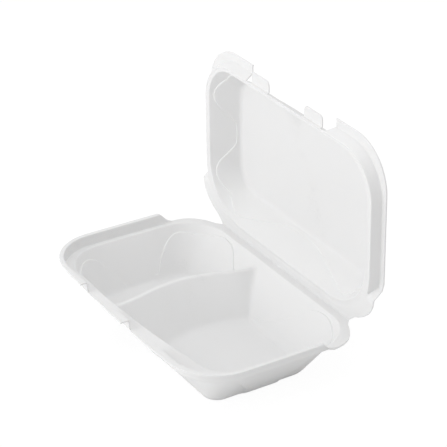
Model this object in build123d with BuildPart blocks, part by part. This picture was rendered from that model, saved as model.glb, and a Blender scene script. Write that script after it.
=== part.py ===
from build123d import *
import os
from dataclasses import astuple, dataclass, replace
from math import atan, cos, pi, radians, sin, sqrt, tan

# A takeaway food container with two compartments and a hinged lid, moulded as one thin plastic sheet.
# The base tray and the lid are the two halves of the sheet, split at the living hinge between them.
# Millimetres. The origin is the middle of the base tray's underside, +Z is up and -Y is the front edge,
# where the lid's tabs catch. Both halves are drawn as they leave the mould, lying open flat on each side
# of the crease, and the lid is then folded up to the angle it is stored at.

# Driving dimensions: the sheet and the whole box
SHEET = 0.8  # thickness of the moulded sheet
LENGTH = 240.0  # over the base flange, along X
CREASE_Y = 78.0  # the hinge crease, behind the middle of the underside
SEAT_Z = 35.5  # height of the seat ledge that the lid closes on
OPEN_ANGLE = 88.3  # how far the stored lid stands open, 0 being closed
CREASE_GAP = 0.2  # each half stands this far from the crease, so that a closed lid clears the seat
STEP = 1.2  # how far the upper part of a wall is set back at the wave-shaped step

# Driving dimensions: rims
COLLAR_RISE = 8.8  # from the seat ledge up to the base flange
PLUG_DEPTH = 8.8  # from the lid's crest to the lid flange
LIP = 1.2  # depth of the turned edge of both flanges
TAB_DEPTH = 2.4  # from the lid's crest to its catch tabs
TAB_INNER = 24.0  # each tab spans from here
TAB_OUTER = 47.5  # to here along X
TONGUE_HALF = 15.0  # half the width of the base's catch tongue, which stands between the tabs
GAP_OUTER = 50.5  # the base's collar is open from the tongue to here, to let a tab down
NOTCH_OUTER = 53.0  # the lid's flange stops here at its root, just outside its tabs
NOTCH_FLARE = 3.5  # and this much further out at its own level
TAB_ROUND = 3.5  # radius of a tab's corners
HINGE_HALF = 90.0  # half the length of the living hinge
HINGE_SHEET = 0.4  # the sheet is thinned to this along the crease
HINGE_BAND = 2.2  # width of that thinned band on each half

# Driving dimensions: depths
LID_DEPTH = 22.5  # from the lid's crest to its ceiling
FOOT_ROUND = 4.0  # inside radius between floor and walls
DIVIDER_DROP = 3.8  # the divider's top is this far below the seat at mid-depth
DIVIDER_FALL = 4.5  # and falls this much from the front wall to the back wall
DIVIDER_TOP = 3.4  # width across the divider's top
DIVIDER_DRAFT_SMALL = 33.0  # degrees from vertical of its face in the small compartment
DIVIDER_DRAFT_LARGE = 42.0  # and of its face in the large one

# Worked out from the above
CREASE_Z = SEAT_Z + CREASE_GAP
CREST_Z = CREASE_Z - CREASE_GAP  # the lid's crest while it lies open flat
WALL = SHEET * 1.2  # thickness of a drafted wall, measured level
COLLAR_Z = SEAT_Z + COLLAR_RISE
PLUG_Z = CREST_Z - PLUG_DEPTH
FAR = 300.0  # longer than anything that is cut
EDGE_KEEP = 9.0  # the flanges' edges stay flat this close to the crease

# The walls are woven from flat facets, few enough to stay light and fine enough to look round
CORNER_FACETS = 13
BOW_FACETS = 8
# The rounded foot of a wall as (inward, upward) shares of its radius; the wall runs on from FOOT_TOP
FOOT_CURVE = [(0.57, 0.0), (0.08, 0.13)]
FOOT_TOP = 0.5


@dataclass
class Outline:
    """A four-sided outline with rounded corners, given by its low and high edges along Y."""

    half: float
    low: float
    high: float
    r_low: float
    r_high: float
    left_in: float = 0.0  # how far the low edge is set in at its left end, which bows it
    right_in: float = 0.0  # and at its right end

    def grown(self, by):
        return replace(self, half=self.half + by, low=self.low - by, high=self.high + by,
                       r_low=self.r_low + by, r_high=self.r_high + by)

    def towards(self, other, share):
        """The outline part of the way from this one to the other."""
        own, others = astuple(self), astuple(other)
        return Outline(*[a + (b - a) * share for a, b in zip(own, others)])

    def low_edge(self, x):
        """Where the bowed low edge runs at a place along X, and its slope there."""
        tilt = (self.right_in - self.left_in) / 2 / self.half
        bow = (self.right_in + self.left_in) / 2 / self.half**2
        return self.low + tilt * x + bow * x * x, tilt + 2 * bow * x

    def points(self):
        """The outline's points, from the left end of its low edge round by the right."""
        corners = []
        for side in (1, -1):
            x = side * (self.half - self.r_low)
            y, slope = self.low_edge(x)
            corners.append(((x, y + self.r_low * sqrt(1 + slope * slope)), atan(slope)))
        (right, right_turn), (left, left_turn) = corners
        start = left[0] + self.r_low * sin(left_turn)
        end = right[0] + self.r_low * sin(right_turn)
        between = [start + (end - start) * k / BOW_FACETS for k in range(1, BOW_FACETS)]
        high_x, high_y = self.half - self.r_high, self.high - self.r_high
        return [*[(x, self.low_edge(x)[0]) for x in between],
                *arc(right, self.r_low, right_turn - pi / 2, 0),
                *arc((high_x, high_y), self.r_high, 0, pi / 2),
                *arc((-high_x, high_y), self.r_high, pi / 2, pi),
                *arc(left, self.r_low, pi, 3 * pi / 2 + left_turn)]


def arc(centre, radius, start, end):
    """The points of a corner, both ends among them."""
    angles = [start + (end - start) * k / CORNER_FACETS for k in range(CORNER_FACETS + 1)]
    return [(centre[0] + radius * cos(angle), centre[1] + radius * sin(angle)) for angle in angles]


# Outlines of the base tray, from the floor up
BASE_FLOOR = Outline(88.6, -45.2, 45.0, 12.5, 16.0)
BASE_RIM = Outline(111.6, -61.3, 71.4, 33.0, 35.3, right_in=14.3)
COLLAR_FOOT = Outline(115.2, -70.7, 76.0, 36.0, 40.0)
COLLAR_TOP = Outline(116.5, -72.0, 76.5, 37.3, 41.0)
BASE_FLANGE = Outline(LENGTH / 2, -79.2, CREASE_Y, 42.0, 1.0, left_in=6.2, right_in=4.4)

# Outlines of the lid while it lies open flat, from its ceiling up to its crest, then out to its flange
LID_CEILING = Outline(96.0, CREASE_Y + 27.0, CREASE_Y + 124.5, 24.0, 22.0)
LID_RIM = Outline(108.1, CREASE_Y + 9.0, CREASE_Y + 142.4, 46.0, 33.0)
PLUG_CREST = Outline(113.6, CREASE_Y + 4.0, CREASE_Y + 145.4, 46.0, 36.7)
PLUG_ROOT = Outline(115.4, CREASE_Y + 3.0, CREASE_Y + 148.2, 46.0, 38.0)
LID_FLANGE = Outline(LENGTH / 2 - 0.5, CREASE_Y, CREASE_Y + 155.0, 1.0, 38.0)

# Where each rim runs down a ramp to its lower level, as (upper end, lower end) along Y
BASE_RAMP = (32.0, 44.0)
LID_RAMP = (CREASE_Y + 32.5, CREASE_Y + 39.5)

# The ears beside the hinge, as (along X, away from the crease): inner end, a point on the curve, outer end
BASE_EAR = [(HINGE_HALF + 2.5, 3.0), (110.0, 15.0), (116.5, 30.0)]
LID_EAR = [(HINGE_HALF + 2.5, 5.0), (111.5, 14.0), (120.0, 31.0)]

# The divider's centre line in plan, front to back
DIVIDER_LINE = [(-23.0, -84.0), (-26.0, -48.0), (-34.0, -16.0), (-36.3, 6.0), (-32.5, 30.0), (-26.5, 50.0),
                (-22.5, 84.0)]

# The wave-shaped steps as heights from the rim, from mid-wall out to the corner
BASE_SIDE_WAVE = [(0, -42), (14, -32.5), (26, -16.5), (34, -9.5), (43, -5.9), (56, -6.9), (75, -9)]
BASE_LONG_WAVE = [(0, -34), (14, -30.3), (27, -25.3), (44, -14.8), (57, -5), (70, -2.5), (88, -5.5), (118, -9)]
LID_SIDE_WAVE = [(0, -19.6), (11, -18), (18, -12.7), (24, -7.3), (36, -3.1), (50, -7.5), (75, -14)]
LID_LONG_WAVE = [(0, -19.8), (15, -19), (28, -16.8), (49, -10.8), (64, -7), (76, -4), (90, -8), (118, -14)]
BASE_APEX = (40.0, 0.0)  # where the two right-hand corner diagonals meet, in plan
LID_APEX = (44.0, CREASE_Y + 76.0)


def stacked(sections):
    """A solid woven through (outline, height) sections, from the lowest up."""
    rings = [[(x, y, z) for x, y in outline.points()] for outline, z in sections]
    faces = [flat_face(rings[0]), flat_face(rings[-1])]
    for lower, upper in zip(rings, rings[1:]):
        for k in range(len(lower)):
            corners = (lower[k - 1], lower[k], upper[k], upper[k - 1])
            faces.append(flat_face(corners[:3]))
            faces.append(flat_face((corners[0], *corners[2:])))
    return Solid(Shell(faces)).clean()


def flat_face(corners):
    return Face(Wire.make_polygon(corners))


def draw(outline):
    """The outline as a flat sketch with smooth corners."""
    with BuildSketch() as sketch:
        with BuildLine():
            left = (-outline.half, outline.low_edge(-outline.half)[0])
            right = (outline.half, outline.low_edge(outline.half)[0])
            if outline.left_in or outline.right_in:
                ThreePointArc(left, (0, outline.low), right)
            else:
                Line(left, right)
            Polyline(right, (outline.half, outline.high), (-outline.half, outline.high), left)
        make_face()
        fillet(sketch.vertices().sort_by(Axis.Y)[:2], outline.r_low)
        fillet(sketch.vertices().sort_by(Axis.Y)[-2:], outline.r_high)
    return sketch.sketch


def with_foot(floor, z_floor, rim, z_rim, foot):
    """A drafted solid between two outlines, rounded by the foot radius where the wall leaves the floor."""
    sections = [(floor.grown(-inward * foot), z_floor + upward * foot) for inward, upward in FOOT_CURVE]
    wall_start = FOOT_TOP * foot / (z_rim - z_floor)
    sections.append((floor.towards(rim, wall_start), z_floor + FOOT_TOP * foot))
    sections.append((rim, z_rim))
    return stacked(sections)


def prism(sketch, z_low, z_high):
    """A flat sketch raised into a solid between two heights."""
    with BuildPart() as body:
        with BuildSketch(Plane.XY.offset(z_low)):
            add(sketch)
        extrude(amount=z_high - z_low)
    return body.part


def box_between(x_span, y_span, z_span):
    """A block between two places along each axis."""
    with BuildPart() as body:
        with BuildSketch(Plane.XY.offset(z_span[0])):
            with Locations(((x_span[0] + x_span[1]) / 2, (y_span[0] + y_span[1]) / 2)):
                Rectangle(x_span[1] - x_span[0], y_span[1] - y_span[0])
        extrude(amount=z_span[1] - z_span[0])
    return body.part


def flange_plan(outline, ear, away):
    """A flange's plan: its outline, less what lies outside the rounded ears beside the hinge.

    away is -1 where the half lies in front of the crease and 1 where it lies behind it.
    """
    inner, middle, outer = [(x, CREASE_Y + away * distance) for x, distance in ear]
    past = CREASE_Y - away * 2
    with BuildSketch() as sketch:
        add(draw(outline))
        with BuildSketch(mode=Mode.SUBTRACT):
            with BuildLine():
                Polyline((HINGE_HALF, past), (HINGE_HALF, CREASE_Y + away * 0.6), inner)
                ThreePointArc(inner, middle, outer)
                Polyline(outer, (outline.half + 5, outer[1]), (outline.half + 5, past), (HINGE_HALF, past))
            make_face()
            mirror(about=Plane.YZ)
        with Locations((0, CREASE_Y)):
            Rectangle(FAR, 2 * CREASE_GAP, mode=Mode.SUBTRACT)
    return sketch.sketch


def below_rim(ramp, upper, lower):
    """Everything below a rim that runs down a ramp from its upper to its lower level."""
    with BuildPart() as body:
        with BuildSketch(Plane.YZ):
            with BuildLine():
                Polyline((-FAR, -FAR), (-FAR, upper), (ramp[0], upper), (ramp[1], lower), (FAR, lower),
                         (FAR, -FAR), close=True)
            make_face()
        extrude(amount=FAR, both=True)
    return body.part


def rim_strip(plan, ramp, upper, lower, depth):
    """The plan as a sheet of the given depth that hangs from the rim line."""
    with BuildPart() as strip:
        add(prism(plan, -FAR, FAR))
        add(below_rim(ramp, upper, lower), mode=Mode.INTERSECT)
        add(below_rim(ramp, upper - depth, lower - depth), mode=Mode.SUBTRACT)
    return strip.part


def turned_edge(plan, ramp, upper, lower, crease_keep):
    """The flange's edge, turned down all round but for the stretch along the crease."""
    with BuildSketch() as edge:
        add(plan)
        offset(plan, amount=-SHEET, mode=Mode.SUBTRACT)
        with Locations((0, CREASE_Y)):
            Rectangle(FAR, 2 * crease_keep, mode=Mode.SUBTRACT)
    return rim_strip(edge.sketch, ramp, upper, lower, LIP)


def wave_profile(half_line, middle, rim):
    """A face that covers everything above a wave line, seen square on to its walls."""
    outward = [(middle + along, rim + height) for along, height in half_line]
    inward = [(middle - along, rim + height) for along, height in reversed(half_line[1:])]
    with BuildSketch() as profile:
        with BuildLine():
            line = Spline(*inward, *outward)
            Polyline(line @ 1, ((line @ 1).X, FAR), ((line @ 0).X, FAR), line @ 0)
        make_face()
    return profile.sketch


def above_wave(side_line, long_line, apex, rim):
    """The space above the step: one wave line for the short walls, another for the long ones."""
    with BuildPart() as corners:
        with BuildSketch(Plane.XY.offset(-FAR)):
            with BuildLine():
                Polyline(apex, (apex[0] + FAR, apex[1] + FAR), (apex[0] + FAR, apex[1] - FAR), close=True)
            make_face()
            mirror(about=Plane.YZ)
        extrude(amount=2 * FAR)
    with BuildPart() as long_walls:
        with BuildSketch(Plane.XZ):
            add(wave_profile(long_line, 0, rim))
        extrude(amount=FAR, both=True)
        add(corners.part, mode=Mode.SUBTRACT)
    with BuildPart() as above:
        with BuildSketch(Plane.YZ):
            add(wave_profile(side_line, apex[1], rim))
        extrude(amount=FAR, both=True)
        add(corners.part, mode=Mode.INTERSECT)
        add(long_walls.part)
    return above.part


def basin(floor, z_floor, rim, z_rim, above, foot):
    """A drafted hollow whose walls stand back by STEP above the wave line."""
    with BuildPart() as hollow:
        add(with_foot(floor, z_floor, rim, z_rim, foot))
        add(above, mode=Mode.INTERSECT)
        add(with_foot(floor.grown(-STEP), z_floor, rim.grown(-STEP), z_rim, foot))
    return hollow.part


def divider(top_half, drop, z_foot):
    """The S-shaped ridge between the compartments, wider at the foot by the draft of each face."""
    slope = DIVIDER_FALL / (BASE_RIM.high - BASE_RIM.low)
    rise = SEAT_Z - drop - z_foot
    small_side = top_half + rise * tan(radians(DIVIDER_DRAFT_SMALL))
    large_side = top_half + rise * tan(radians(DIVIDER_DRAFT_LARGE))
    shift = (large_side - small_side) / 2
    with BuildPart() as ridge:
        with BuildSketch(Plane.XY.offset(z_foot)):
            with BuildLine():
                Spline(*[(x + shift, y) for x, y in DIVIDER_LINE])
            trace(line_width=small_side + large_side)
        with BuildSketch(Plane(origin=(0, 0, SEAT_Z - drop), x_dir=(1, 0, 0), z_dir=(0, slope, 1))):
            with BuildLine():
                Spline(*DIVIDER_LINE)
            trace(line_width=2 * top_half)
        loft(ruled=True)
    return ridge.part


# Base tray: skins of the compartments and of the divider between them
base_outer = basin(BASE_FLOOR.grown(WALL), 0, BASE_RIM.grown(WALL), SEAT_Z,
                   above_wave(BASE_SIDE_WAVE, BASE_LONG_WAVE, BASE_APEX, SEAT_Z - SHEET), FOOT_ROUND + SHEET)
base_hollow = basin(BASE_FLOOR, SHEET, BASE_RIM, SEAT_Z,
                    above_wave(BASE_SIDE_WAVE, BASE_LONG_WAVE, BASE_APEX, SEAT_Z), FOOT_ROUND)
divider_skin = divider(DIVIDER_TOP / 2, DIVIDER_DROP, SHEET)
divider_core = divider(DIVIDER_TOP / 2 - SHEET * 0.7, DIVIDER_DROP + SHEET, 0)
compartments = base_hollow - divider_skin

# Base tray: seat ledge, collar and flange
base_plan = flange_plan(BASE_FLANGE, BASE_EAR, -1)
base_column = prism(base_plan, 0, FAR)
with BuildPart() as ledge:
    add(stacked([(COLLAR_FOOT.grown(WALL), SEAT_Z - SHEET), (COLLAR_FOOT.grown(WALL), SEAT_Z)]))
    add(base_column, mode=Mode.INTERSECT)
collar_inside = stacked([(COLLAR_FOOT, SEAT_Z), (COLLAR_TOP, COLLAR_Z)])
with BuildPart() as collar:
    add(stacked([(COLLAR_FOOT.grown(WALL), SEAT_Z), (COLLAR_TOP.grown(WALL), COLLAR_Z)]))
    add(base_column, mode=Mode.INTERSECT)
    add(below_rim(BASE_RAMP, COLLAR_Z, SEAT_Z), mode=Mode.INTERSECT)

with BuildPart() as base_tray:
    add(base_outer)
    add(ledge.part)
    add(collar.part)
    add(rim_strip(base_plan, BASE_RAMP, COLLAR_Z, SEAT_Z, SHEET))
    add(turned_edge(base_plan, BASE_RAMP, COLLAR_Z, SEAT_Z, EDGE_KEEP))
    add(compartments, mode=Mode.SUBTRACT)
    add(divider_core, mode=Mode.SUBTRACT)
    add(collar_inside, mode=Mode.SUBTRACT)
    for side in (-1, 1):
        gap = sorted((side * TONGUE_HALF, side * GAP_OUTER))
        add(box_between(gap, (BASE_FLANGE.low - 5, COLLAR_FOOT.low + 5), (SEAT_Z, COLLAR_Z + 5)),
            mode=Mode.SUBTRACT)
    add(box_between((-HINGE_HALF, HINGE_HALF), (CREASE_Y - HINGE_BAND, CREASE_Y + 1),
                    (SEAT_Z - SHEET + HINGE_SHEET, SEAT_Z + 1)), mode=Mode.SUBTRACT)

# Lid, lying open flat: its domed part
lid_ceiling_z = CREST_Z - LID_DEPTH
lid_outer = basin(LID_CEILING.grown(WALL), lid_ceiling_z - SHEET, LID_RIM.grown(WALL), CREST_Z,
                  above_wave(LID_SIDE_WAVE, LID_LONG_WAVE, LID_APEX, CREST_Z - SHEET), FOOT_ROUND + SHEET)
lid_hollow = basin(LID_CEILING, lid_ceiling_z, LID_RIM, CREST_Z,
                   above_wave(LID_SIDE_WAVE, LID_LONG_WAVE, LID_APEX, CREST_Z), FOOT_ROUND)

# Lid: sealing crest, plug wall, flange and catch tabs
lid_plan = flange_plan(LID_FLANGE, LID_EAR, 1)
lid_column = prism(lid_plan, 0, FAR)
with BuildPart() as crest:
    add(stacked([(PLUG_CREST, CREST_Z - SHEET), (PLUG_CREST, CREST_Z)]))
    add(lid_column, mode=Mode.INTERSECT)
plug_inside = stacked([(PLUG_ROOT.grown(-WALL), PLUG_Z - SHEET), (PLUG_CREST.grown(-WALL), CREST_Z - SHEET)])
with BuildPart() as plug:
    add(stacked([(PLUG_ROOT, PLUG_Z), (PLUG_CREST, CREST_Z)]))
    add(plug_inside, mode=Mode.SUBTRACT)
    add(lid_column, mode=Mode.INTERSECT)
    add(below_rim(LID_RAMP, CREST_Z - SHEET, PLUG_Z - SHEET), mode=Mode.SUBTRACT)
with BuildPart() as lid_flange:
    add(rim_strip(lid_plan, LID_RAMP, CREST_Z, PLUG_Z, SHEET))
    add(turned_edge(lid_plan, LID_RAMP, CREST_Z, PLUG_Z, EDGE_KEEP))
    add(plug_inside, mode=Mode.SUBTRACT)
with BuildPart() as notch:
    with BuildSketch(Plane.XZ.offset(-LID_FLANGE.high - 5)):
        notch_top = CREST_Z - SHEET
        with BuildLine():
            flared = NOTCH_OUTER + NOTCH_FLARE
            Polyline((-NOTCH_OUTER, notch_top), (NOTCH_OUTER, notch_top), (flared, PLUG_Z), (flared, -FAR),
                     (-flared, -FAR), (-flared, PLUG_Z), close=True)
        make_face()
    extrude(amount=LID_FLANGE.high - PLUG_CREST.high + 10)
tab_root = PLUG_CREST.high - WALL
with BuildSketch() as tabs:
    with Locations(((TAB_INNER + TAB_OUTER) / 2, (tab_root + LID_FLANGE.high) / 2)):
        Rectangle(TAB_OUTER - TAB_INNER, LID_FLANGE.high - tab_root)
    fillet(tabs.vertices().group_by(Axis.Y)[-1], TAB_ROUND)
    mirror(about=Plane.YZ)
with BuildSketch() as tab_walls:
    with Locations(((TAB_INNER + TAB_OUTER) / 2, tab_root + WALL / 2)):
        Rectangle(TAB_OUTER - TAB_INNER, WALL)
    mirror(about=Plane.YZ)

with BuildPart() as lid:
    add(plug.part)
    add(lid_flange.part)
    add(notch.part, mode=Mode.SUBTRACT)
    add(prism(tabs.sketch, CREST_Z - TAB_DEPTH - SHEET, CREST_Z - TAB_DEPTH))
    add(prism(tab_walls.sketch, CREST_Z - TAB_DEPTH, CREST_Z))
    add(lid_outer)
    add(crest.part)
    add(lid_hollow, mode=Mode.SUBTRACT)
    add(box_between((-HINGE_HALF, HINGE_HALF), (CREASE_Y - 1, CREASE_Y + HINGE_BAND),
                    (CREST_Z - SHEET + HINGE_SHEET, CREST_Z + 1)), mode=Mode.SUBTRACT)

# The lid is folded up about the crease to its stored angle
crease = Axis((0, CREASE_Y, CREASE_Z), (1, 0, 0))
open_lid = lid.part.rotate(crease, 180 - OPEN_ANGLE)

base_tray.part.label = "base_tray"
open_lid.label = "lid"
os.makedirs("parts", exist_ok=True)
export_step(base_tray.part, "parts/base_tray.step")
export_step(open_lid, "parts/lid.step")
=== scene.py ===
"""A two-compartment hinged food container, moulded as one thin sheet of filled white polypropylene."""

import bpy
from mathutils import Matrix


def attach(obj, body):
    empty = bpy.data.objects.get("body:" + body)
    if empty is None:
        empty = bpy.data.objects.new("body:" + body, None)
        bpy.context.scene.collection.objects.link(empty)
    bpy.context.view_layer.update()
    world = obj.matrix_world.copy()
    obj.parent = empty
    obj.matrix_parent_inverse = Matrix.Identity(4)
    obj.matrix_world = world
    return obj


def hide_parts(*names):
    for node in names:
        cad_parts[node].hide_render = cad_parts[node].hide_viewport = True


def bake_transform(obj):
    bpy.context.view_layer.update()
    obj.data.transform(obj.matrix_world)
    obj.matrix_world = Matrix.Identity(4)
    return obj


bl_info = {
    "name": "Hinged food container",
    "version": (1, 0, 0),
    "blender": (4, 5, 0),
    "location": "View3D > Sidebar > Container",
    "description": "Dresses a thin moulded food container and lights it",
    "category": "Add Mesh",
}

from dataclasses import dataclass, replace
from math import atan, cos, pi, radians, sin, sqrt, tan

import bmesh
import bpy
import numpy as np
from bpy.props import FloatProperty, FloatVectorProperty, PointerProperty
from mathutils import Matrix, Vector

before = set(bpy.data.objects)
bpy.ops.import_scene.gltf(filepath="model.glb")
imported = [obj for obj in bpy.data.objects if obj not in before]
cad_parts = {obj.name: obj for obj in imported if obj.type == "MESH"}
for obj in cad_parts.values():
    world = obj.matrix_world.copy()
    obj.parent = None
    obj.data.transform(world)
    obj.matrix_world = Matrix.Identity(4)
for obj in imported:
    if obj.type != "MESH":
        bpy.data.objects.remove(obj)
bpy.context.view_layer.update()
MM = 0.001

# The moulding, in millimetres, at the solids' own sizes. Three things differ: the lid ceiling's front edge is
# 4.5 further out, so that its wall shows between the tabs, the lid's crest is slightly dished, and the feet
# of the walls and of the divider are rounder.
SHEET = 0.8
CREASE_Y = 78.0
SEAT_Z = 35.5
CREASE_GAP = 0.2
CREASE_Z = SEAT_Z + CREASE_GAP
OPEN_ANGLE = 88.3
STEP = 1.2
COLLAR_Z = SEAT_Z + 8.8
PLUG_Z = SEAT_Z - 8.8
LIP = 1.2
LIP_START = 9.0
TAB_DEPTH = 2.4
TAB_INNER = 24.0
TAB_OUTER = 47.5
TAB_ROUND = 3.5
TONGUE_HALF = 15.0
GAP_OUTER = 50.5
GAP_SILL = 1.0
NOTCH_OUTER = 53.0
NOTCH_FLARED = 56.5
HINGE_HALF = 90.0
LID_DEPTH = 22.5
CREST_DISH = 0.45
DIVIDER_TOP_Z = SEAT_Z - 3.8
DIVIDER_SLOPE = 4.5 / 132.7
DIVIDER_HALF = 1.7
DIVIDER_DRAFT_SMALL = 33.0
DIVIDER_DRAFT_LARGE = 42.0
DIVIDER_TOP_BLEND = 0.9
DIVIDER_FOOT_BLEND = 3.0

# The least radius of an outline's corner
SHARP = 0.01


@dataclass
class Outline:
    """A four-sided outline with rounded corners; its low edge may be bowed, set in at either end."""

    half: float
    low: float
    high: float
    r_low: float
    r_high: float
    left_in: float = 0.0
    right_in: float = 0.0

    def grown(self, by):
        """The outline that lies outside this one, or inside it where by is negative."""
        return replace(self, half=self.half + by, low=self.low - by, high=self.high + by,
                       r_low=max(self.r_low + by, SHARP), r_high=max(self.r_high + by, SHARP))

    def low_edge(self, x):
        """Where the low edge runs at x, and its slope there."""
        tilt = (self.right_in - self.left_in) / 2 / self.half
        bow = (self.right_in + self.left_in) / 2 / self.half**2
        return self.low + tilt * x + bow * x * x, tilt + 2 * bow * x


BASE_FLOOR = Outline(88.6, -45.2, 45.0, 12.5, 16.0)
BASE_RIM = Outline(111.6, -61.3, 71.4, 33.0, 35.3, right_in=14.3)
COLLAR_FOOT = Outline(115.2, -70.7, 76.0, 36.0, 40.0)
COLLAR_TOP = Outline(116.5, -72.0, 76.5, 37.3, 41.0)
BASE_FLANGE = Outline(120.0, -79.2, CREASE_Y, 42.0, 1.0, left_in=6.2, right_in=4.4)
LID_CEILING = Outline(96.0, CREASE_Y + 27.0, CREASE_Y + 129.0, 24.0, 22.0)
LID_RIM = Outline(108.1, CREASE_Y + 9.0, CREASE_Y + 142.4, 46.0, 33.0)
PLUG_CREST = Outline(113.6, CREASE_Y + 4.0, CREASE_Y + 145.4, 46.0, 36.7)
PLUG_ROOT = Outline(115.4, CREASE_Y + 3.0, CREASE_Y + 148.2, 46.0, 38.0)
LID_FLANGE = Outline(119.5, CREASE_Y, CREASE_Y + 155.0, 1.0, 38.0)

# Where the collar and the plug wall run down to nothing, from y to y
BASE_RAMP = (32.0, 44.0)
LID_RAMP = (CREASE_Y + 32.5, CREASE_Y + 39.5)

# The flanges' ears beside the hinge, from the crease out to the flange's straight side
BASE_EAR = [(90.0, 77.8), (90.2, 76.8), (92.5, 74.8), (98.0, 72.2), (105.0, 68.2), (110.8, 62.9),
            (114.4, 57.4), (116.3, 51.5), (117.0, 46.0), (117.7, 41.0), (119.2, 35.5), (120.0, 30.0)]
LID_EAR = [(90.0, 78.2), (90.2, 79.2), (92.5, 81.8), (98.0, 84.6), (104.8, 87.9), (111.6, 93.2),
           (116.6, 99.6), (118.9, 105.8), (119.5, 112.0)]

# The divider's middle line, as (y, x)
DIVIDER_LINE = [(-84.0, -23.0), (-48.0, -26.0), (-16.0, -34.0), (6.0, -36.3), (30.0, -32.5), (50.0, -26.5),
                (84.0, -22.5)]

# Heights of the wave-shaped steps below the rim, from mid-wall outwards
BASE_SIDE_WAVE = [(0, -42), (14, -32.5), (26, -16.5), (34, -9.5), (43, -5.9), (56, -6.9), (75, -9)]
BASE_LONG_WAVE = [(0, -34), (14, -30.3), (27, -25.3), (44, -14.8), (57, -5), (70, -2.5), (88, -5.5),
                  (118, -9)]
LID_SIDE_WAVE = [(0, -19.6), (11, -18), (18, -12.7), (24, -7.3), (36, -3.1), (50, -7.5), (75, -14)]
LID_LONG_WAVE = [(0, -19.8), (15, -19), (28, -16.8), (49, -10.8), (64, -7), (76, -4), (90, -8), (118, -14)]

# Where the diagonals start that part the side walls from the long ones, and the width they are eased over
BASE_APEX = (40.0, 0.0)
LID_APEX = (44.0, CREASE_Y + 76.0)
APEX_EASE = 10.0

# Shares of a wall's height that its step stays between, and the height by which the step is fully deep
STEP_SHARES = (0.12, 0.96)
STEP_FADE = 6.0

# Columns of the weave along each edge, and round each corner
SIDE_COLUMNS = 40
LONG_COLUMNS = 86
CORNER_COLUMNS = 14

# Shares of a corner's turn at which a column runs out to the hinge's end
BASE_HINGE_SHARE = 0.79
LID_HINGE_SHARE = 0.254

# Flat rings inside the walls: half the line they close up on, their insets, and the last before the foot
FLOOR_LINE = 43.5
FLOOR_INSETS = np.linspace(44, 7.5, 26)
FLOOR_LAST = 6.0
CEILING_LINE = 47.25
CEILING_INSETS = np.linspace(46, 8, 8)
CEILING_LAST = 6.5

# The ledge's flat between rim and collar, in from either, and how far past the rim the divider is looked for
LEDGE_INNER = 1.6
LEDGE_OUTER = 1.4
RIM_MARGIN = 0.4

# Steps through a bend, and the most of a face that one bend takes up
BEND_SHARES = (0, 0.2, 0.4, 0.6, 0.8, 1)
BEND_LIMIT = 0.45

# Rows across the lid's crest, and the rows of its turned front edge that run on between the tabs
CREST_ROWS = 4
CREST_EDGE_ROWS = 2

# A catch tab's section from the crest, as (outwards, downwards), and its rows from there to its end
TAB_SECTION = [(-0.25, 0.08), (0, 0.4), (0.03, 1.7), (0.25, 2.2), (0.8, TAB_DEPTH)]
TAB_ROWS = 5

# Points along half of the base flange's bowed edge, and round a flange's corner
BOW_POINTS = 20
TURN_POINTS = 24

# The hinge strip: its thickness, how far it stops short of the ears, and the points along it
HINGE_SHEET = 0.35
HINGE_MARGIN = 0.3
HINGE_POINTS = 61

# Points closer than this are joined, edges shorter than this go, and folds sharper than this, in degrees,
# are shaded as cut edges
WELD = 0.01
SLIVER = 0.004
CUT_ANGLE = 50


def smooth_line(points, at):
    """Heights of a soft curve through (place, height) points."""
    places = np.array([p for p, _ in points], float)
    heights = np.array([h for _, h in points], float)
    slopes = np.gradient(heights, places)
    at = np.clip(at, places[0], places[-1])
    span = np.clip(np.searchsorted(places, at) - 1, 0, len(places) - 2)
    width = places[span + 1] - places[span]
    t = (at - places[span]) / width
    rise = (2 * t**3 - 3 * t**2 + 1) * heights[span] + (-2 * t**3 + 3 * t**2) * heights[span + 1]
    return rise + width * ((t**3 - 2 * t**2 + t) * slopes[span] + (t**3 - t**2) * slopes[span + 1])


def smooth_step(t):
    """A share that eases in from 0 and out to 1."""
    t = np.clip(t, 0, 1)
    return t * t * (3 - 2 * t)


def soft_max(a, b, blend):
    """The larger of two heights, with the fold between them rounded over the blend."""
    near = np.clip(blend - np.abs(a - b), 0, None) / blend
    return np.maximum(a, b) + near * near * blend / 4


def ramp_down(y, ramp, upper, lower):
    """A level that runs down a ramp, eased at both its ends."""
    return upper + (lower - upper) * smooth_step((y - ramp[0]) / (ramp[1] - ramp[0]))


def between(a, b, share):
    """Points that lie the share of the way from a to b."""
    return a + (b - a) * np.reshape(share, (-1, 1))


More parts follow.
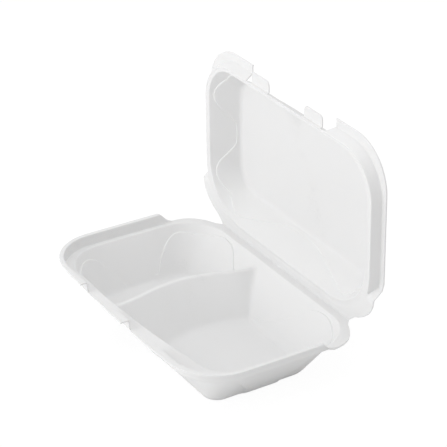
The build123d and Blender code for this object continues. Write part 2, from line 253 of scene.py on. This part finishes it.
class Weave:
    """The columns that one half of the sheet is woven from, and where each of them meets an outline."""

    def __init__(self, low_marks=(), high_marks=()):
        self.low_shares = self.shares(low_marks)
        self.high_shares = self.shares(high_marks)

    @staticmethod
    def shares(marks):
        """Shares of a corner's turn, evenly spread, with each marked share among them."""
        even = np.linspace(0, 1, CORNER_COLUMNS + 1)
        for mark in marks:
            even[1 + np.argmin(np.abs(even[1:-1] - mark))] = mark
        return even

    def plan(self, outline, low_marks=None, high_marks=None):
        """The outline's points in plan, one to a column, from the low edge's left end round by the right."""
        o = outline
        ends = {}
        for side in (-1, 1):
            x = side * (o.half - o.r_low)
            y, slope = o.low_edge(x)
            ends[side] = (x, y + o.r_low * sqrt(1 + slope * slope)), atan(slope)
        (left, left_turn), (right, right_turn) = ends[-1], ends[1]
        low_x = self.spread(left[0] + o.r_low * sin(left_turn), right[0] + o.r_low * sin(right_turn),
                            low_marks)
        flat = o.half - o.r_high
        high_x = self.spread(flat, -flat, high_marks)
        side_y = np.linspace(0, 1, SIDE_COLUMNS + 1)
        parts = [
            np.stack([low_x, o.low_edge(low_x)[0]], 1),
            self.corner(right, o.r_low, right_turn - pi / 2, 0, self.low_shares),
            np.stack([side_y * 0 + o.half, right[1] + (o.high - o.r_high - right[1]) * side_y], 1),
            self.corner((flat, o.high - o.r_high), o.r_high, 0, pi / 2, self.high_shares),
            np.stack([high_x, high_x * 0 + o.high], 1),
            self.corner((-flat, o.high - o.r_high), o.r_high, pi / 2, pi, 1 - self.high_shares[::-1]),
            np.stack([side_y * 0 - o.half, left[1] + (o.high - o.r_high - left[1]) * (1 - side_y)], 1),
            self.corner(left, o.r_low, pi, 3 * pi / 2 + left_turn, 1 - self.low_shares[::-1]),
        ]
        return np.concatenate([part[:-1] for part in parts])

    def ring(self, outline, z, low_marks=None, high_marks=None):
        """The outline's points at one height, or at a height for each column."""
        plan = self.plan(outline, low_marks, high_marks)
        return np.column_stack([plan, np.broadcast_to(z, len(plan))])

    @staticmethod
    def spread(first, last, marks):
        """Places along a long edge, with {column: place} marks kept."""
        marks = marks or {}
        columns = [0, *marks, LONG_COLUMNS]
        return np.interp(np.arange(LONG_COLUMNS + 1), columns, [first, *marks.values(), last])

    @staticmethod
    def corner(centre, radius, start, end, shares):
        """Points at shares of an arc, from one angle to another."""
        angles = start + (end - start) * shares
        return np.stack([centre[0] + radius * np.cos(angles), centre[1] + radius * np.sin(angles)], 1)


def mirrored(marks):
    """The marks of half a long edge, with those of its other half."""
    return {**marks, **{LONG_COLUMNS - column: -place for column, place in reversed(marks.items())}}


def both(span):
    """A span of columns of a long edge, and its mirror image."""
    return [span, (LONG_COLUMNS - span[1], LONG_COLUMNS - span[0])]


# Columns of the base's front edge outside the rim: both openings in the collar start and end on one
GAPS = both((14, 34))
GAP_MARKS = mirrored({14: -GAP_OUTER, 34: -TONGUE_HALF})

# Columns of the lid's front edge: the notch, the tabs and the rounding of their corners, and the length of
# flat edge beyond the notch that an outline needs to keep them in their places
NOTCH = (12, LONG_COLUMNS - 12)
TABS = both((17, 33))
LID_MARKS = mirrored({NOTCH[0]: NOTCH_OUTER, 17: TAB_OUTER, 22: TAB_OUTER - TAB_ROUND,
                      28: TAB_INNER + TAB_ROUND, 33: TAB_INNER})
NOTCH_MARGIN = 18.0

# Columns inside the base's rim that follow the divider, with their distances from its middle line in front,
# and where the front edge is taken to meet that line
DIVIDER_MARKS = {24: -4.0, 38: 4.0, 62: 34.0}
DIVIDER_FRONT_X = -25


def divider_marks(y, at_back):
    """Places of the divider's columns on a long edge at y; at the back, columns are counted leftwards."""
    middle = float(smooth_line(DIVIDER_LINE, y))
    if at_back:
        return {LONG_COLUMNS - column: middle + off for column, off in reversed(DIVIDER_MARKS.items())}
    return {column: middle + off for column, off in DIVIDER_MARKS.items()}


def lid_marks(outline):
    """The lid's front columns, drawn together where the outline is too narrow for them."""
    fit = min(1.0, (outline.half - outline.r_high) / (NOTCH_OUTER + NOTCH_MARGIN))
    return {column: place * fit for column, place in LID_MARKS.items()}


def middle_line(outline, half):
    """The line along an outline's middle that its rings close up on."""
    middle = (outline.low + outline.high) / 2
    return Outline(half, middle, middle, SHARP, SHARP)


def wave(x, y, side_line, long_line, apex, rim):
    """The wave line's height by the nearest wall, one line easing into the other at the corners."""
    across, along = np.abs(x), np.abs(y - apex[1])
    on_side = smooth_step((across - apex[0] - along) / APEX_EASE + 0.5)
    return rim + on_side * smooth_line(side_line, along) + (1 - on_side) * smooth_line(long_line, across)


def wall_keys(ring, floor, z_floor, rim, z_rim, wave_height):
    """The turning points of a stepped wall: its foot, the step's two edges and the rim."""
    foot, top = ring(floor, z_floor), ring(rim, z_rim)
    inner_foot, inner_top = ring(floor.grown(-STEP), z_floor), ring(rim.grown(-STEP), z_rim)
    share = np.full(len(foot), 0.5)
    for _ in range(40):
        height = wave_height(*between(foot, top, share)[:, :2].T)
        share = (share + np.clip((height - z_floor) / (z_rim - z_floor), *STEP_SHARES)) / 2
    depth = smooth_step((height - z_floor) / STEP_FADE)
    return [
        between(foot, inner_foot, depth),
        between(between(foot, top, share), between(inner_foot, inner_top, share), depth),
        between(foot, top, share),
        top,
    ]


def rounded(profile):
    """Rings through a profile of {name: (ring, reach, rows)}, and the ring at which each name's bend starts.

    A ring is bent over its reach of the faces beside it, and the run that leads up to it is cut in rows.
    """
    names = list(profile)
    keys = [ring for ring, _, _ in profile.values()]
    rings = [keys[0]]
    starts = {}
    last = keys[0]
    for k in range(1, len(keys)):
        _, reach, rows = profile[names[k]]
        bend = [keys[k]]
        if reach:
            sides = []
            for other in (keys[k - 1], keys[k + 1]):
                way = other - keys[k]
                length = np.linalg.norm(way, axis=1, keepdims=True)
                sides.append(keys[k] + way * np.minimum(reach / np.maximum(length, 1e-9), BEND_LIMIT))
            bend = [(1 - t)**2 * sides[0] + 2 * t * (1 - t) * keys[k] + t * t * sides[1]
                    for t in BEND_SHARES]
        rings += [between(last, bend[0], (row + 1) / rows) for row in range(rows)]
        starts[names[k]] = len(rings) - 1
        rings += bend[1:]
        last = bend[-1]
    return rings, starts


def to_edge(points, inner_points, edge):
    """Where lines from the inner points through the points first cross the edge, a closed run of points."""
    way = points - inner_points
    way /= np.linalg.norm(way, axis=1, keepdims=True)
    start, run = edge, np.roll(edge, -1, 0) - edge
    found = []
    for point, d in zip(points, way):
        cross = d[0] * run[:, 1] - d[1] * run[:, 0]
        cross = np.where(np.abs(cross) < 1e-12, 1e-12, cross)
        gap = start - point
        reach = (gap[:, 0] * run[:, 1] - gap[:, 1] * run[:, 0]) / cross
        place = (gap[:, 0] * d[1] - gap[:, 1] * d[0]) / cross
        hit = reach[(reach > -0.5) & (place >= -1e-6) & (place <= 1 + 1e-6)]
        found.append(point + d * (hit.min() if len(hit) else 1.0))
    return np.array(found)


def softened(points, count=6):
    """More points along a run, on soft spans through the given ones."""
    p = np.array([points[0], *points, points[-1]], float)
    t = np.linspace(0, 1, count, endpoint=False)[:, None]
    spans = []
    for a, b, c, d in zip(p, p[1:], p[2:], p[3:]):
        bend = (2 * a - 5 * b + 4 * c - d) * t**2 + (3 * b - a - 3 * c + d) * t**3
        spans.append(0.5 * (2 * b + (c - a) * t + bend))
    return np.concatenate([*spans, p[-1:]])


def flange_edge(outline, ear, front_is_low):
    """The flange's edge as a closed run of points from mid-front, with its rounded ears beside the hinge."""
    shares = np.linspace(0, 1, TURN_POINTS)
    halves = []
    for side in (1, -1):
        if front_is_low:
            x = np.linspace(0, side * (outline.half - outline.r_low), BOW_POINTS)
            front = np.column_stack([x, outline.low_edge(x)[0]])
            y, slope = outline.low_edge(x[-1])
            centre = (x[-1], y + outline.r_low * sqrt(1 + slope * slope))
            end = 0 if side > 0 else -pi
            turn = Weave.corner(centre, outline.r_low, atan(slope) - pi / 2, end, shares)
        else:
            front = np.array([(0, outline.high)])
            centre = (side * (outline.half - outline.r_high), outline.high - outline.r_high)
            end = 0 if side > 0 else pi
            turn = Weave.corner(centre, outline.r_high, pi / 2, end, shares)
        halves.append(np.concatenate([front, turn, softened(ear)[::-1] * (side, 1)]))
    right, left = halves
    return np.concatenate([right, left[:0:-1]])


def ridge(x, y):
    """Height of the divider's surface, which its two drafted faces carry on below."""
    middle = smooth_line(DIVIDER_LINE, y)
    turn = (smooth_line(DIVIDER_LINE, y + 1) - smooth_line(DIVIDER_LINE, y - 1)) / 2
    across = (x - middle) / np.sqrt(1 + turn * turn)
    top = DIVIDER_TOP_Z - DIVIDER_SLOPE * y
    small = top - (-DIVIDER_HALF - across) / tan(radians(DIVIDER_DRAFT_SMALL))
    large = top - (across - DIVIDER_HALF) / tan(radians(DIVIDER_DRAFT_LARGE))
    return -soft_max(-top, -np.minimum(small, large), DIVIDER_TOP_BLEND)


def base_grids():
    """The base tray's grids of points: floor, stepped walls, ledge, collar, flange and turned lip."""
    weave = Weave(high_marks=(BASE_HINGE_SHARE,))

    def inner(outline, z):
        front_y = outline.low_edge(DIVIDER_FRONT_X)[0]
        return weave.ring(outline, z, divider_marks(front_y, False), divider_marks(outline.high, True))

    def outer(outline, z):
        return weave.ring(outline, z, GAP_MARKS)

    floor = [inner(middle_line(BASE_FLOOR, FLOOR_LINE), SHEET)]
    floor += [inner(BASE_FLOOR.grown(-inset), SHEET) for inset in FLOOR_INSETS]
    foot, step_low, step_high, rim = wall_keys(
        inner, BASE_FLOOR, SHEET, BASE_RIM, SEAT_Z,
        lambda x, y: wave(x, y, BASE_SIDE_WAVE, BASE_LONG_WAVE, BASE_APEX, SEAT_Z))
    collar_top = outer(COLLAR_TOP, 0)
    collar_top[:, 2] = ramp_down(collar_top[:, 1], BASE_RAMP, COLLAR_Z, SEAT_Z)
    edge = flange_edge(BASE_FLANGE, BASE_EAR, True)
    flange = to_edge(collar_top[:, :2], outer(COLLAR_TOP.grown(-1), 0)[:, :2], edge)
    flange_z = ramp_down(flange[:, 1], BASE_RAMP, COLLAR_Z, SEAT_Z)
    lip = np.where(flange[:, 1] < CREASE_Y - LIP_START, LIP, 0)
    rings, starts = rounded({
        "floor": (inner(BASE_FLOOR.grown(-FLOOR_LAST), SHEET), 0, 0),
        "foot": (foot, 5.0, 2),
        "step's low edge": (step_low, 0.3, 8),
        "step's high edge": (step_high, 0.25, 1),
        "rim": (rim, 0.8, 7),
        "ledge's inner ring": (inner(BASE_RIM.grown(LEDGE_INNER), SEAT_Z), 0, 1),
        "ledge's outer ring": (outer(COLLAR_FOOT.grown(-LEDGE_OUTER), SEAT_Z), 0, 3),
        "collar's foot": (outer(COLLAR_FOOT, SEAT_Z), 0.8, 1),
        "collar's top": (collar_top, 0.7, 4),
        "flange": (np.column_stack([flange, flange_z]), 0.4, 4),
        "lip": (np.column_stack([flange, flange_z - lip]), 0, 2),
    })
    points = np.array(floor + rings)
    x, y, z = points[..., 0], points[..., 1], points[..., 2]
    inside = (y > BASE_RIM.low_edge(x)[0] - RIM_MARGIN) & (y < BASE_RIM.high + RIM_MARGIN)
    points[..., 2] = np.where(inside, soft_max(z, ridge(x, y), DIVIDER_FOOT_BLEND), z)
    hidden = np.zeros(points.shape[:2], bool)
    collar_foot = len(floor) + starts["collar's foot"]
    strips = []
    for first, last in GAPS:
        hidden[collar_foot:, first:last] = True
        kept = points[collar_foot, first:last + 1]
        end = kept.copy()
        end[:, 1] = COLLAR_FOOT.low - GAP_SILL
        strips.append(([kept, end], False, None))
    return [(points, True, hidden), *strips]


def lid_grids():
    """The grids of points of the lid laid flat: ceiling, stepped walls, crest, plug wall, flange and tabs."""
    weave = Weave(low_marks=(LID_HINGE_SHARE,))
    ceiling_z = SEAT_Z - LID_DEPTH

    def ring(outline, z):
        return weave.ring(outline, z, None, lid_marks(outline))

    ceiling = [ring(middle_line(LID_CEILING, CEILING_LINE), ceiling_z)]
    ceiling += [ring(LID_CEILING.grown(-inset), ceiling_z) for inset in CEILING_INSETS]
    foot, step_low, step_high, rim = wall_keys(
        ring, LID_CEILING, ceiling_z, LID_RIM, SEAT_Z,
        lambda x, y: wave(x, y, LID_SIDE_WAVE, LID_LONG_WAVE, LID_APEX, SEAT_Z))
    flared = {**LID_MARKS, NOTCH[0]: NOTCH_FLARED, NOTCH[1]: -NOTCH_FLARED}
    root = weave.ring(PLUG_ROOT, 0, None, flared)
    root[:, 2] = ramp_down(-root[:, 1], (-LID_RAMP[1], -LID_RAMP[0]), PLUG_Z, SEAT_Z)
    edge = flange_edge(LID_FLANGE, LID_EAR, False)
    flange = to_edge(root[:, :2], weave.ring(PLUG_ROOT.grown(-1), 0, None, flared)[:, :2], edge)
    flange_z = ramp_down(-flange[:, 1], (-LID_RAMP[1], -LID_RAMP[0]), PLUG_Z, SEAT_Z)
    lip = np.where(flange[:, 1] > CREASE_Y + LIP_START, LIP, 0)
    rings, starts = rounded({
        "ceiling": (ring(LID_CEILING.grown(-CEILING_LAST), ceiling_z), 0, 0),
        "foot": (foot, 3.0, 2),
        "step's low edge": (step_low, 0.3, 6),
        "step's high edge": (step_high, 0.25, 1),
        "rim": (rim, 0.6, 6),
        "crest": (ring(PLUG_CREST, SEAT_Z), 0.6, CREST_ROWS),
        "plug's root": (root, 0.8, 5),
        "flange": (np.column_stack([flange, flange_z]), 0.4, 3),
        "lip": (np.column_stack([flange, flange_z - lip]), 0, 2),
    })
    points = np.array(ceiling + rings)
    crest = len(ceiling) + starts["crest"]
    for row in range(CREST_ROWS + 1):
        share = row / CREST_ROWS
        points[crest - CREST_ROWS + row, :, 2] -= CREST_DISH * 4 * share * (1 - share)
    hidden = np.zeros(points.shape[:2], bool)
    front = 2 * CORNER_COLUMNS + LONG_COLUMNS + SIDE_COLUMNS
    first, last = front + NOTCH[0], front + NOTCH[1]
    hidden[crest:, first:last] = True
    return [(points, True, hidden), tab_grid(points[crest, first:last + 1])]


def tab_grid(crest):
    """The crest's front edge and the two catch tabs that hang from it, as rows out from the crest."""
    x = crest[:, 0]
    front = PLUG_CREST.high
    inset = np.minimum(np.abs(x) - TAB_INNER, TAB_OUTER - np.abs(x))
    short = np.clip(TAB_ROUND - inset, 0, TAB_ROUND)
    end = LID_FLANGE.high - TAB_ROUND + np.sqrt(TAB_ROUND**2 - short**2) - front
    rows = [crest]
    for out, down in TAB_SECTION:
        rows.append(np.column_stack([x, x * 0 + front + out, x * 0 + SEAT_Z - down]))
    for share in np.linspace(0, 1, TAB_ROWS + 1)[1:]:
        rows.append(np.column_stack([x, front + out + (end - out) * share, x * 0 + SEAT_Z - TAB_DEPTH]))
    hidden = np.zeros((len(rows), len(x)), bool)
    hidden[CREST_EDGE_ROWS:, :] = True
    for first, last in TABS:
        hidden[CREST_EDGE_ROWS:, first - NOTCH[0]:last - NOTCH[0]] = False
    return rows, False, hidden


def folded(points):
    """Points of the flat lid, turned up about the crease to the angle it is stored at."""
    points = np.array(points)
    angle = radians(180 - OPEN_ANGLE)
    y, z = points[..., 1] - CREASE_Y, points[..., 2] - CREASE_Z
    points[..., 1] = CREASE_Y + y * cos(angle) - z * sin(angle)
    points[..., 2] = CREASE_Z + y * sin(angle) + z * cos(angle)
    return points


def grid_faces(rows, columns, start, closed, hidden=None):
    """Quads between neighbouring rows of points, skipping the hidden ones."""
    faces = []
    for r in range(rows - 1):
        for c in range(columns if closed else columns - 1):
            if hidden is None or not hidden[r, c]:
                a, b = start + r * columns + c, start + r * columns + (c + 1) % columns
                faces.append((a, a + columns, b + columns, b))
    return faces


def sheet_object(name, grids, settings):
    """A thickened sheet from grids of (points, closed, hidden), welded where they meet."""
    points, faces = [], []
    for rows, closed, hidden in grids:
        start = sum(len(p) for p in points)
        rows = np.array(rows)
        faces += grid_faces(rows.shape[0], rows.shape[1], start, closed, hidden)
        points.append(rows.reshape(-1, 3))
    mesh = bpy.data.meshes.new(name)
    mesh.from_pydata((np.concatenate(points) * MM).tolist(), [], faces)
    piece = bpy.data.objects.new(name, mesh)
    bpy.context.collection.objects.link(piece)
    weld(mesh)
    mesh.shade_smooth()
    thick = piece.modifiers.new("Sheet", "SOLIDIFY")
    thick.thickness = settings.sheet
    thick.offset = -1
    thick.use_even_offset = False
    edges = piece.modifiers.new("Cut edges", "EDGE_SPLIT")
    edges.split_angle = radians(CUT_ANGLE)
    mesh.materials.append(plastic(settings))
    return piece


def weld(mesh):
    """Joins points that meet, which also closes the seams between grids."""
    work = bmesh.new()
    work.from_mesh(mesh)
    bmesh.ops.remove_doubles(work, verts=work.verts, dist=WELD * MM)
    bmesh.ops.dissolve_degenerate(work, edges=work.edges, dist=SLIVER * MM)
    loose = [v for v in work.verts if not v.link_faces]
    bmesh.ops.delete(work, geom=loose, context="VERTS")
    work.to_mesh(mesh)
    work.free()


def node(tree, kind, place, links=None, **values):
    """Adds a shader node with its values, and links its inputs from other nodes' outputs."""
    made = tree.nodes.new(kind)
    made.location = (place[0] * 220, place[1] * 220)
    for key, value in values.items():
        if key in made.bl_rna.properties:
            setattr(made, key, value)
        else:
            made.inputs[key.replace("_", " ")].default_value = value
    for key, output in (links or {}).items():
        tree.links.new(output, made.inputs[key])
    return made


def linear(hex_colour):
    """A scene-linear colour from an sRGB hex code."""
    parts = [int(hex_colour[k:k + 2], 16) / 255 for k in (1, 3, 5)]
    return [*[p / 12.92 if p <= 0.04045 else ((p + 0.055) / 1.055)**2.4 for p in parts], 1]


# Patterns in the plastic, as (width in millimetres, detail). The real filler and the real skin's grain are
# far finer than a pixel, so the specks and the grain are drawn as coarse as they need to be to show.
PATTERNS = {
    "cloud": (35.71, 3.0),
    "speck": (0.5263, 2.0),
    "swell": (11.76, 2.0),
    "grain": (0.3846, 3.0),
}
# How much more the clouds count than the specks, and the sums at which the plastic is dark and pale
CLOUD_WEIGHT = 1.6
SHADE_RANGE = (0.85, 1.0)
# How far the specks move the roughness either way
GLOSS_SPREAD = 0.06
# The skin's swells and grain: how strongly they tilt the light, and their depths in millimetres
SWELL_STRENGTH = 0.06
SWELL_DEPTH = 0.8
GRAIN_DEPTH = 0.03
# How far light scatters inside the plastic, in millimetres, for red, green and blue
SCATTER = (1.2, 1.1, 1.0)


def plastic(settings):
    """Matt filled polypropylene: a faint cloudiness, fine grain in its gloss and a softly uneven skin."""
    title = "Filled white polypropylene"
    if title in bpy.data.materials:
        return bpy.data.materials[title]
    material = bpy.data.materials.new(title)
    material.use_nodes = True
    tree = material.node_tree
    tree.nodes.clear()
    place = node(tree, "ShaderNodeTexCoord", (-5, 0)).outputs["Object"]
    noise = {}
    for row, (name, (width, detail)) in enumerate(PATTERNS.items()):
        noise[name] = node(tree, "ShaderNodeTexNoise", (-4, 1 - row), {"Vector": place},
                           Scale=1 / (width * MM), Detail=detail).outputs["Fac"]
    mixed = node(tree, "ShaderNodeMath", (-3, 0.5), {0: noise["cloud"], 2: noise["speck"]},
                 operation="MULTIPLY_ADD")
    mixed.inputs[1].default_value = CLOUD_WEIGHT
    shade = node(tree, "ShaderNodeValToRGB", (-2, 0.5), {"Fac": mixed.outputs[0]})
    ramp = zip(shade.color_ramp.elements, SHADE_RANGE, (settings.flecks, settings.plastic))
    for element, position, colour in ramp:
        element.position = position
        element.color = (*colour, 1)
    gloss = node(tree, "ShaderNodeMapRange", (-2, -0.5), {"Value": noise["speck"]},
                 To_Min=settings.roughness - GLOSS_SPREAD, To_Max=settings.roughness + GLOSS_SPREAD)
    rise = node(tree, "ShaderNodeBump", (-2, -1.5), {"Height": noise["swell"]},
                Strength=SWELL_STRENGTH, Distance=SWELL_DEPTH * MM)
    skin = node(tree, "ShaderNodeBump", (-1, -1.5), {"Height": noise["grain"], "Normal": rise.outputs[0]},
                Strength=settings.grain, Distance=GRAIN_DEPTH * MM)
    surface = node(tree, "ShaderNodeBsdfPrincipled", (0, 0),
                   {"Base Color": shade.outputs[0], "Roughness": gloss.outputs[0], "Normal": skin.outputs[0]},
                   IOR=1.49, Specular_IOR_Level=0.4, Subsurface_Weight=0.12, Subsurface_Scale=1.0,
                   Subsurface_Radius=[depth * MM for depth in SCATTER])
    node(tree, "ShaderNodeOutputMaterial", (1.5, 0), {"Surface": surface.outputs[0]})
    return material


class ContainerSettings(bpy.types.PropertyGroup):
    """What the sheet is made of, and how it is lit."""

    sheet: FloatProperty(name="Sheet", description="Thickness of the moulded sheet", default=SHEET * MM,
                         unit="LENGTH")
    plastic: FloatVectorProperty(name="Plastic", description="Colour of the plastic", subtype="COLOR",
                                 default=linear("#E2E2E2")[:3])
    flecks: FloatVectorProperty(name="Flecks", description="Colour of the plastic's faint flecks",
                                subtype="COLOR", default=linear("#D8D8D8")[:3])
    roughness: FloatProperty(name="Roughness", description="How matt the plastic is", default=0.5,
                             subtype="FACTOR")
    grain: FloatProperty(name="Grain", description="Strength of the moulded skin's fine grain", default=0.25,
                         subtype="FACTOR")
    room_light: FloatProperty(name="Room light", description="Light from all sides", default=0.71)
    top_light: FloatProperty(name="Top light", description="Watts of the wide light above", default=11.8)
    front_light: FloatProperty(name="Front light", description="Watts of the low light in front",
                               default=14.3)
    left_light: FloatProperty(name="Left light", description="Watts of the light at the left front",
                              default=7.9)
    white: FloatVectorProperty(name="Backdrop", description="Colour behind the object", subtype="COLOR",
                               default=(1.0, 1.0, 1.0))


class CONTAINER_OT_base_tray(bpy.types.Operator):
    """Weaves the base tray's sheet over its solid"""

    bl_idname = "container.base_tray"
    bl_label = "Base tray"

    def execute(self, context):
        piece = sheet_object("base_sheet", base_grids(), context.scene.container)
        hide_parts("base_tray")
        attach(piece, "base")
        return {"FINISHED"}


class CONTAINER_OT_lid(bpy.types.Operator):
    """Weaves the lid's sheet over its solid, folded up to its stored angle"""

    bl_idname = "container.lid"
    bl_label = "Lid"

    def execute(self, context):
        grids = [(folded(rows), closed, hidden) for rows, closed, hidden in lid_grids()]
        piece = sheet_object("lid_sheet", grids, context.scene.container)
        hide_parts("lid")
        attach(piece, "lid")
        return {"FINISHED"}


class CONTAINER_OT_hinge(bpy.types.Operator):
    """Joins both halves with the thinned strip of sheet along the crease"""

    bl_idname = "container.hinge"
    bl_label = "Living hinge"

    def execute(self, context):
        section = [(77.55, 35.4), (77.85, 35.38), (78.08, 35.42), (78.25, 35.58), (78.29, 35.85),
                   (78.29, 36.15)]
        x = np.linspace(-HINGE_HALF + HINGE_MARGIN, HINGE_HALF - HINGE_MARGIN, HINGE_POINTS)
        rows = [np.column_stack([x, x * 0 + y, x * 0 + z]) for y, z in section]
        piece = sheet_object("hinge_strip", [(rows, False, None)], context.scene.container)
        piece.modifiers["Sheet"].thickness = HINGE_SHEET * MM
        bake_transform(piece)
        return {"FINISHED"}


class CONTAINER_OT_stage(bpy.types.Operator):
    """Sets up the camera, the soft lights and the white surroundings"""

    bl_idname = "container.stage"
    bl_label = "Stage"

    def execute(self, context):
        settings = context.scene.container
        place_camera(context.scene)
        white_room(settings)
        white_table(settings)
        place_lights(settings)
        context.scene.view_settings.view_transform = "Standard"
        return {"FINISHED"}


# The camera: its direction in degrees, where it looks and from how far in millimetres, how far it stands
# to the left of that line and above it, and its lens
CAMERA_AZIMUTH = 57.19
CAMERA_ELEVATION = 28.51
CAMERA_ROLL = 0.75
CAMERA_TARGET = (0, 38, 40)
CAMERA_DISTANCE = 1496.87
CAMERA_LEFT = 14.35
CAMERA_UP = 42.85
CAMERA_LENS = 153.26
CAMERA_SENSOR = 36


def place_camera(scene):
    """A long lens from the front right, a little above, as in the photograph."""
    azimuth, elevation, roll = radians(CAMERA_AZIMUTH), radians(CAMERA_ELEVATION), radians(CAMERA_ROLL)
    ahead = Vector((-sin(azimuth) * cos(elevation), cos(azimuth) * cos(elevation), -sin(elevation)))
    level = Vector((cos(azimuth), sin(azimuth), 0))
    upright = level.cross(ahead)
    right = level * cos(roll) + upright * sin(roll)
    up = upright * cos(roll) - level * sin(roll)
    camera = bpy.data.objects.new("Camera", bpy.data.cameras.new("Camera"))
    scene.collection.objects.link(camera)
    place = Vector(CAMERA_TARGET) - ahead * CAMERA_DISTANCE - level * CAMERA_LEFT + upright * CAMERA_UP
    matrix = Matrix((right, up, -ahead)).transposed().to_4x4()
    matrix.translation = place * MM
    camera.matrix_world = matrix
    camera.data.lens = CAMERA_LENS
    camera.data.sensor_width = CAMERA_SENSOR
    camera.data.clip_start = 0.1
    camera.data.clip_end = 10
    scene.camera = camera


def white_room(settings):
    """White behind everything, and an even light from all sides."""
    world = bpy.data.worlds.new("White room")
    bpy.context.scene.world = world
    world.use_nodes = True
    tree = world.node_tree
    tree.nodes.clear()
    path = node(tree, "ShaderNodeLightPath", (-3, 1)).outputs
    seen = node(tree, "ShaderNodeMath", (-2, 1), {0: path["Is Camera Ray"], 1: path["Is Transmission Ray"]},
                operation="MAXIMUM")
    shown = node(tree, "ShaderNodeMath", (-1, 1), {0: seen.outputs[0], 1: path["Is Glossy Ray"]},
                 operation="MAXIMUM")
    room = node(tree, "ShaderNodeBackground", (-1, 0), Strength=settings.room_light)
    white = node(tree, "ShaderNodeBackground", (-1, -1), Strength=1.0)
    for light in (room, white):
        light.inputs["Color"].default_value = (*settings.white, 1)
    mix = node(tree, "ShaderNodeMixShader", (0, 0),
               {0: shown.outputs[0], 1: room.outputs[0], 2: white.outputs[0]})
    node(tree, "ShaderNodeOutputWorld", (1, 0), {"Surface": mix.outputs[0]})


# The table: its size and how far it lies below the object in metres, and the glow that whitens it for the
# camera, with the share that the glow takes of its surface
TABLE_SIZE = 6
TABLE_DROP = 0.0002
TABLE_GLOW = 1.04
GLOW_SHARE = 0.9


def white_table(settings):
    """A table as white as the room, which keeps a little of the object's shadow."""
    bpy.ops.mesh.primitive_plane_add(size=TABLE_SIZE, location=(0, 0, -TABLE_DROP))
    floor = bpy.context.object
    floor.name = "Floor"
    material = bpy.data.materials.new("White table")
    material.use_nodes = True
    tree = material.node_tree
    tree.nodes.clear()
    path = node(tree, "ShaderNodeLightPath", (-3, 1)).outputs
    top = node(tree, "ShaderNodeBsdfDiffuse", (-2, 0), Color=linear("#F4F4F4"))
    glow = node(tree, "ShaderNodeEmission", (-2, -1), Color=(*settings.white, 1), Strength=TABLE_GLOW)
    kept = node(tree, "ShaderNodeMixShader", (-1, 0), {1: top.outputs[0], 2: glow.outputs[0]}, Fac=GLOW_SHARE)
    mix = node(tree, "ShaderNodeMixShader", (0, 0),
               {0: path["Is Camera Ray"], 1: top.outputs[0], 2: kept.outputs[0]})
    node(tree, "ShaderNodeOutputMaterial", (1, 0), {"Surface": mix.outputs[0]})
    floor.data.materials.append(material)


# The wide soft lights, as (place, size) in metres, and where they point
LIGHTS = {
    "Above": ((0, 0.1, 2.2), 1.7),
    "Front": ((-0.2, -2.0, 0.3), 1.2),
    "Left front": ((-0.75, -1.8, 1.25), 1.4),
}
LIGHT_AIM = (0, 0.03, 0.05)


def place_lights(settings):
    """Wide soft lights above, low in front, and higher up at the left front."""
    watts = (settings.top_light, settings.front_light, settings.left_light)
    for (name, (place, size)), power in zip(LIGHTS.items(), watts):
        data = bpy.data.lights.new(name, "AREA")
        data.shape = "SQUARE"
        data.size = size
        data.energy = power
        light = bpy.data.objects.new(name, data)
        bpy.context.scene.collection.objects.link(light)
        light.location = place
        light.rotation_euler = (Vector(LIGHT_AIM) - Vector(place)).to_track_quat("-Z", "Y").to_euler()


class CONTAINER_PT_panel(bpy.types.Panel):
    """The container's settings, and a button for each part of the job"""

    bl_idname = "CONTAINER_PT_panel"
    bl_label = "Hinged container"
    bl_space_type = "VIEW_3D"
    bl_region_type = "UI"
    bl_category = "Container"

    def draw(self, context):
        for name in SHOWN_SETTINGS:
            self.layout.prop(context.scene.container, name)
        for operator in OPERATORS:
            self.layout.operator(operator.bl_idname)


SHOWN_SETTINGS = ("sheet", "plastic", "flecks", "roughness", "grain", "room_light", "top_light",
                  "front_light", "left_light", "white")
OPERATORS = (CONTAINER_OT_base_tray, CONTAINER_OT_lid, CONTAINER_OT_hinge, CONTAINER_OT_stage)
CLASSES = (ContainerSettings, *OPERATORS, CONTAINER_PT_panel)


def register():
    for cls in CLASSES:
        bpy.utils.register_class(cls)
    bpy.types.Scene.container = PointerProperty(type=ContainerSettings)


def unregister():
    del bpy.types.Scene.container
    for cls in reversed(CLASSES):
        bpy.utils.unregister_class(cls)


def main():
    """Builds both halves, their hinge and the stage."""
    register()
    bpy.ops.container.base_tray()
    bpy.ops.container.lid()
    bpy.ops.container.hinge()
    bpy.ops.container.stage()


if __name__ == "__main__":
    main()
